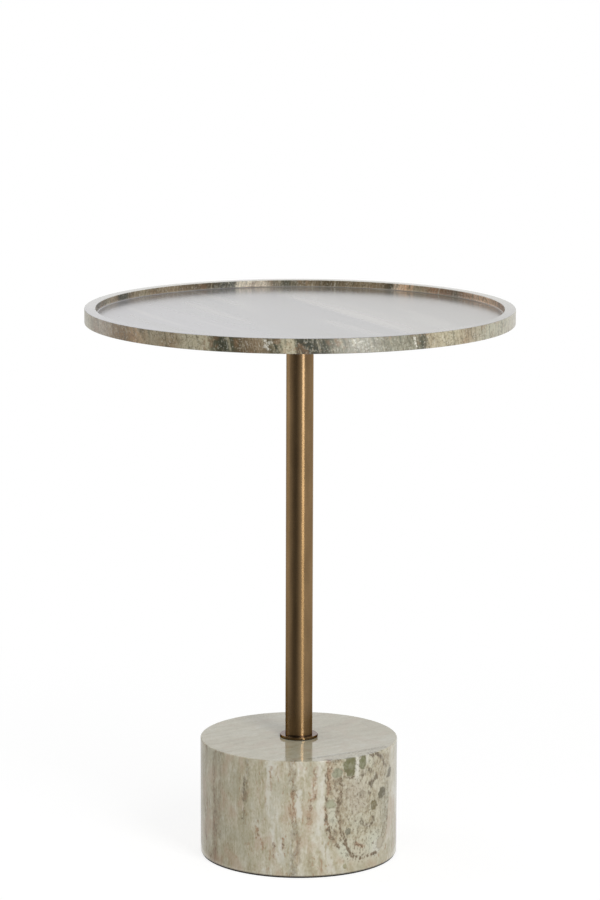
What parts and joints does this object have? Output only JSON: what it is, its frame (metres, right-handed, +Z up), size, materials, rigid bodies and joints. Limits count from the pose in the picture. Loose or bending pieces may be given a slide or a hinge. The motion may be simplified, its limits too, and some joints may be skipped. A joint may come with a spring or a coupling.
{
  "type": "side table",
  "caption": "Round pedestal side table: a shallow marble tray with a raised lip on a slim brass-finished column and a heavy marble drum base.",
  "frame": {"origin": "centre of the pad's underside, on the floor", "axes": "+Z up along the column; -Y towards the camera of the picture, +X to its right"},
  "size_m": [0.406, 0.406, 0.53],
  "materials": {
    "tray_marble": "polished, banded beige, brown and grey-green",
    "drum_marble": "polished, vertically banded beige with a patch of green pebbles",
    "aged_brass": "brushed, darkened, satin lacquer",
    "plated_steel": "zinc plated",
    "gasket_rubber": "matte",
    "adhesive": "cured, dull",
    "pad_foam": "fine-cell foam, matte"
  },
  "bodies": {
    "root": {"tray_top": "tray_marble", "plate_adhesive": "adhesive", "support_plate": "aged_brass", "plate_boss": "plated_steel", "rod_lock_nut": "plated_steel", "tie_rod": "plated_steel", "column_tube": "aged_brass", "column_collar": "aged_brass", "collar_gasket": "gasket_rubber", "base_drum": "drum_marble", "clamp_gasket": "gasket_rubber", "clamp_washer": "plated_steel", "spring_washer": "plated_steel", "clamp_nut": "plated_steel", "base_pad": "pad_foam"}
  },
  "joints": []
}
